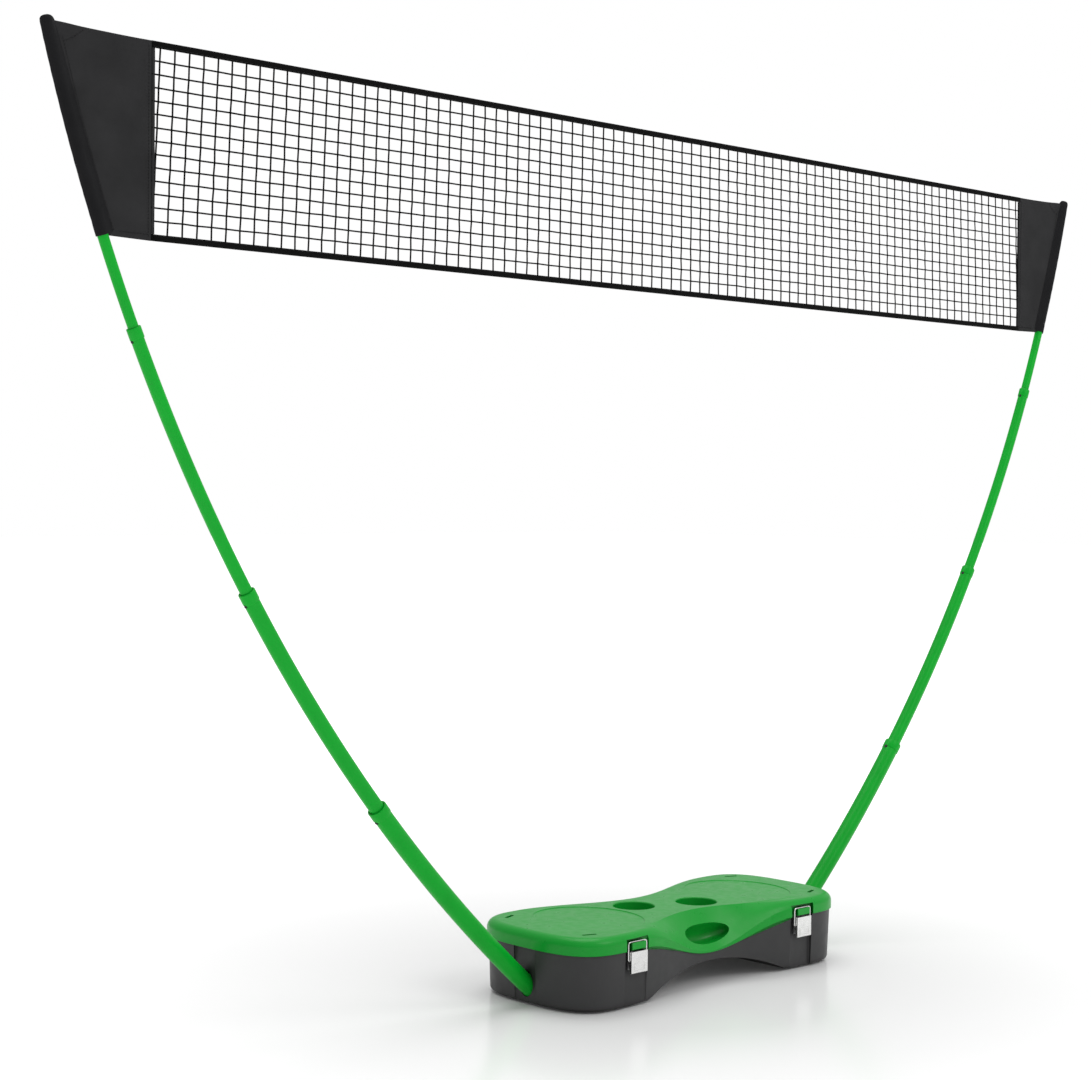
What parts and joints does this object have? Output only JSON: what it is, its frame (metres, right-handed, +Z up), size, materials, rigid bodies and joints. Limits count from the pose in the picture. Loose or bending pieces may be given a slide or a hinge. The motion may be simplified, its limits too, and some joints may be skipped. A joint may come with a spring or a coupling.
{
  "type": "portable badminton net",
  "caption": "Freestanding badminton net on bowed telescopic poles that stand in a hinged, latched waisted carry case with cup wells and a scooped hand hold.",
  "frame": {"origin": "on the floor under the middle of the carry case, in the plane of the net", "axes": "+X along the net to the right as seen from the latch side, -Y towards the latch side, +Z up"},
  "size_m": [2.618, 0.3065, 1.564],
  "materials": {
    "tray_grey": "fine moulded grain",
    "lid_green": "satin moulded",
    "rubber": "matt",
    "steel": "zinc plated",
    "nickel": "bright nickel",
    "pole_green": "gloss paint",
    "button_black": "moulded",
    "socket_black": "moulded",
    "panel_fabric": "plain woven polyester",
    "tape": "woven webbing",
    "string": "braided twine"
  },
  "bodies": {
    "base": {"tray": "tray_grey", "foot_left_front": "rubber", "foot_left_rear": "rubber", "foot_right_front": "rubber", "foot_right_rear": "rubber", "hinge_pin_left": "steel", "latch_plate_left": "steel", "latch_pin_left": "steel", "latch_rivet_left_1": "steel", "latch_rivet_left_2": "steel", "pole_left_1": "pole_green", "pole_foot_plug_left": "socket_black", "pole_socket_left": "socket_black", "hinge_pin_right": "steel", "latch_plate_right": "steel", "latch_pin_right": "steel", "latch_rivet_right_1": "steel", "latch_rivet_right_2": "steel", "pole_right_1": "pole_green", "pole_foot_plug_right": "socket_black", "pole_socket_right": "socket_black"},
    "lid": {"lid": "lid_green"},
    "lever_left": {"latch_lever_left": "nickel"},
    "bail_left": {"latch_bail_left": "nickel"},
    "left_2": {"pole_left_2": "pole_green", "button_spring_left_1": "steel"},
    "left_3": {"pole_left_3": "pole_green", "button_spring_left_2": "steel"},
    "left_4": {"pole_left_4": "pole_green", "button_spring_left_3": "steel", "pole_tip_cap_left": "socket_black", "net_end_panel_left": "panel_fabric"},
    "button_left_1": {"snap_button_left_1": "button_black"},
    "button_left_2": {"snap_button_left_2": "button_black"},
    "button_left_3": {"snap_button_left_3": "button_black"},
    "lever_right": {"latch_lever_right": "nickel"},
    "bail_right": {"latch_bail_right": "nickel"},
    "right_2": {"pole_right_2": "pole_green", "button_spring_right_1": "steel"},
    "right_3": {"pole_right_3": "pole_green", "button_spring_right_2": "steel"},
    "right_4": {"pole_right_4": "pole_green", "button_spring_right_3": "steel", "pole_tip_cap_right": "socket_black", "net_end_panel_right": "panel_fabric"},
    "button_right_1": {"snap_button_right_1": "button_black"},
    "button_right_2": {"snap_button_right_2": "button_black"},
    "button_right_3": {"snap_button_right_3": "button_black"},
    "net_center": {"net_top_tape": "tape", "net_bottom_tape": "tape", "net_upright_strings": "string", "net_level_strings": "string", "net_binding_left": "tape"},
    "net_right_edge": {"net_binding_right": "tape"}
  },
  "joints": [
    {"name": "lid_hinge", "type": "hinge", "parent": "base", "child": "lid", "pos_m": [0, 0.151, 0.102], "axis": [-1, 0, 0], "range_deg": [0, 105]},
    {"name": "lever_left_hinge", "type": "hinge", "parent": "base", "child": "lever_left", "pos_m": [-0.223, -0.145, 0.096], "axis": [-1, 0, 0], "range_deg": [0, 85], "deforming": ["latch_bail_left"]},
    {"name": "bail_left_pivot", "type": "hinge", "parent": "lever_left", "child": "bail_left", "pos_m": [-0.223, -0.1445, 0.084], "axis": [-1, 0, 0], "range_deg": [-92, 0]},
    {"name": "lever_right_hinge", "type": "hinge", "parent": "base", "child": "lever_right", "pos_m": [0.223, -0.145, 0.096], "axis": [-1, 0, 0], "range_deg": [0, 85], "deforming": ["latch_bail_right"]},
    {"name": "bail_right_pivot", "type": "hinge", "parent": "lever_right", "child": "bail_right", "pos_m": [0.223, -0.1445, 0.084], "axis": [-1, 0, 0], "range_deg": [-92, 0]},
    {"name": "collapse_left_2", "type": "hinge", "parent": "base", "child": "left_2", "pos_m": [1.6, 0, 2.304], "axis": [0, -1, 0], "range_deg": [0, 7.4], "deforming": ["net_top_tape", "net_bottom_tape", "net_upright_strings", "net_level_strings", "net_binding_left", "net_binding_right", "snap_button_left_1", "snap_button_left_2", "snap_button_left_3", "snap_button_right_1", "snap_button_right_2", "snap_button_right_3"]},
    {"name": "collapse_left_3", "type": "hinge", "parent": "left_2", "child": "left_3", "pos_m": [1.6, 0, 2.304], "axis": [0, -1, 0], "range_deg": [0, 7.4]},
    {"name": "collapse_left_4", "type": "hinge", "parent": "left_3", "child": "left_4", "pos_m": [1.6, 0, 2.304], "axis": [0, -1, 0], "range_deg": [0, 2.2]},
    {"name": "collapse_right_2", "type": "hinge", "parent": "base", "child": "right_2", "pos_m": [-1.6, 0, 2.304], "axis": [0, 1, 0], "range_deg": [0, 7.4]},
    {"name": "collapse_right_3", "type": "hinge", "parent": "right_2", "child": "right_3", "pos_m": [-1.6, 0, 2.304], "axis": [0, 1, 0], "range_deg": [0, 7.4]},
    {"name": "collapse_right_4", "type": "hinge", "parent": "right_3", "child": "right_4", "pos_m": [-1.6, 0, 2.304], "axis": [0, 1, 0], "range_deg": [0, 2.2]},
    {"name": "net_center_swing", "type": "hinge", "parent": "left_4", "child": "net_center", "pos_m": [-1.24412, 0, 2.729], "axis": [0, 1, 0], "range_deg": [0, 17.1]},
    {"name": "net_right_edge_swing", "type": "hinge", "parent": "net_center", "child": "net_right_edge", "pos_m": [1.24412, 0, 2.729], "axis": [0, 1, 0], "range_deg": [0, 17.1]},
    {"name": "press_left_1", "type": "slide", "parent": "left_2", "child": "button_left_1", "axis": [0.7607, 0, 0.649], "range_m": [0, 0.0043], "stiffness_N_per_m": 900, "deforming": ["button_spring_left_1"]},
    {"name": "press_left_2", "type": "slide", "parent": "left_3", "child": "button_left_2", "axis": [0.8483, 0, 0.5295], "range_m": [0, 0.00405], "stiffness_N_per_m": 900, "deforming": ["button_spring_left_2"]},
    {"name": "press_left_3", "type": "slide", "parent": "left_4", "child": "button_left_3", "axis": [0.9173, 0, 0.3983], "range_m": [0, 0.0033], "stiffness_N_per_m": 900, "deforming": ["button_spring_left_3"]},
    {"name": "press_right_1", "type": "slide", "parent": "right_2", "child": "button_right_1", "axis": [0.7607, 0, -0.649], "range_m": [0, 0.0043], "stiffness_N_per_m": 900, "deforming": ["button_spring_right_1"]},
    {"name": "press_right_2", "type": "slide", "parent": "right_3", "child": "button_right_2", "axis": [0.8483, 0, -0.5295], "range_m": [0, 0.00405], "stiffness_N_per_m": 900, "deforming": ["button_spring_right_2"]},
    {"name": "press_right_3", "type": "slide", "parent": "right_4", "child": "button_right_3", "axis": [0.9173, 0, -0.3983], "range_m": [0, 0.0033], "stiffness_N_per_m": 900, "deforming": ["button_spring_right_3"]}
  ],
  "couplings": [
    {"joint": "bail_left_pivot", "follows": "lever_left_hinge", "ratio": -1.08},
    {"joint": "bail_right_pivot", "follows": "lever_right_hinge", "ratio": -1.08},
    {"joint": "collapse_left_3", "follows": "collapse_left_2", "ratio": 1},
    {"joint": "collapse_left_4", "follows": "collapse_left_2", "ratio": 0.297},
    {"joint": "collapse_right_2", "follows": "collapse_left_2", "ratio": 1},
    {"joint": "collapse_right_3", "follows": "collapse_left_2", "ratio": 1},
    {"joint": "collapse_right_4", "follows": "collapse_left_2", "ratio": 0.297},
    {"joint": "net_center_swing", "follows": "collapse_left_2", "ratio": 2.297},
    {"joint": "net_right_edge_swing", "follows": "collapse_left_2", "ratio": 2.297}
  ]
}
